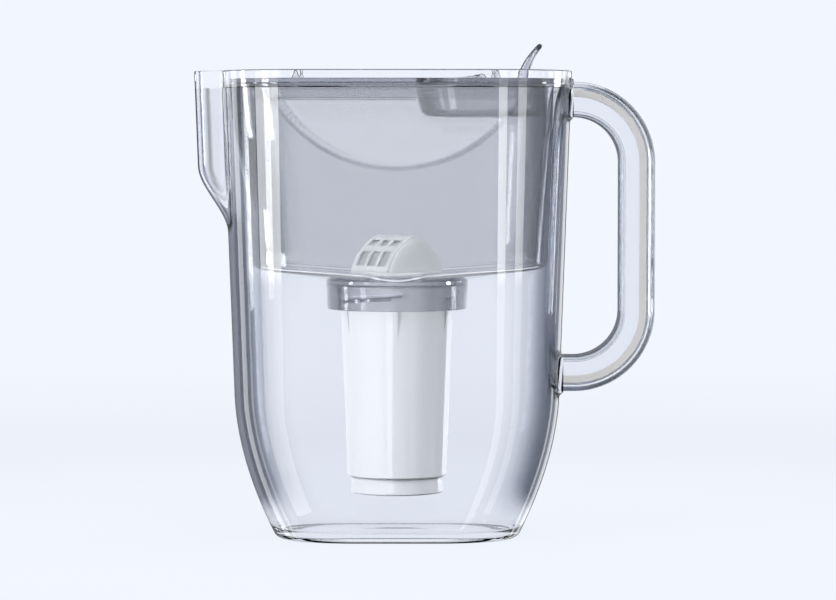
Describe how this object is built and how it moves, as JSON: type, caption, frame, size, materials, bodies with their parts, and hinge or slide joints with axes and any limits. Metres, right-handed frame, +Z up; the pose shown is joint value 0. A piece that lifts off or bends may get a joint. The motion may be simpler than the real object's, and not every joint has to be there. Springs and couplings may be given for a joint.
{
  "type": "water filter pitcher",
  "caption": "Tall clear jug with a spout and a loop handle, an inner hopper with a screw-in filter cartridge, and a lid whose flap opens by a thumb lever.",
  "frame": {"origin": "centre of the flat base, on the cartridge axis", "axes": "+Z up, +X from the cartridge axis to the handle, -X to the spout, +Y to the back"},
  "size_m": [0.26, 0.12, 0.279],
  "materials": {
    "clear_plastic": "polished clear moulding",
    "smoky_plastic": "polished grey tinted clear moulding",
    "white_plastic": "satin white moulding",
    "silicone": "soft matt",
    "mesh": "fine woven mesh",
    "felt": "pressed non-woven felt",
    "granules": "packed dark granules"
  },
  "bodies": {
    "jug": {"jug_body": "clear_plastic", "handle_bar": "clear_plastic", "handle_liner": "clear_plastic"},
    "hopper": {"hopper": "smoky_plastic", "socket_collar": "smoky_plastic"},
    "lid": {"lid_frame": "smoky_plastic", "hinge_pin": "smoky_plastic"},
    "flap": {"flap": "smoky_plastic", "thumb_lever": "smoky_plastic"},
    "seal": {"cartridge_seal": "silicone"},
    "cartridge": {"cartridge_head": "white_plastic", "intake_hood": "white_plastic", "inlet_mesh": "mesh", "upper_pad": "felt", "filter_bed": "granules", "lower_pad": "felt", "outlet_mesh": "mesh", "cartridge_shell": "white_plastic", "outlet_cap": "white_plastic"}
  },
  "joints": [
    {"name": "hopper_lift", "type": "slide", "parent": "jug", "child": "hopper", "axis": [0, 0, 1], "range_m": [0, 0.25]},
    {"name": "lid_lift", "type": "slide", "parent": "hopper", "child": "lid", "axis": [0, 0, 1], "range_m": [0, 0.04]},
    {"name": "flap_hinge", "type": "hinge", "parent": "lid", "child": "flap", "pos_m": [0.073, 0, 0.2437], "axis": [0, 1, 0], "range_deg": [0, 32]},
    {"name": "cartridge_drop", "type": "slide", "parent": "hopper", "child": "seal", "axis": [0, 0, -1], "range_m": [0, 0.0121]},
    {"name": "cartridge_turn", "type": "hinge", "parent": "seal", "child": "cartridge", "pos_m": [0, 0, 0.136], "axis": [0, 0, -1], "range_deg": [0, 360]}
  ],
  "couplings": [
    {"joint": "cartridge_drop", "follows": "cartridge_turn", "m_per_rad": 0.0019099}
  ]
}
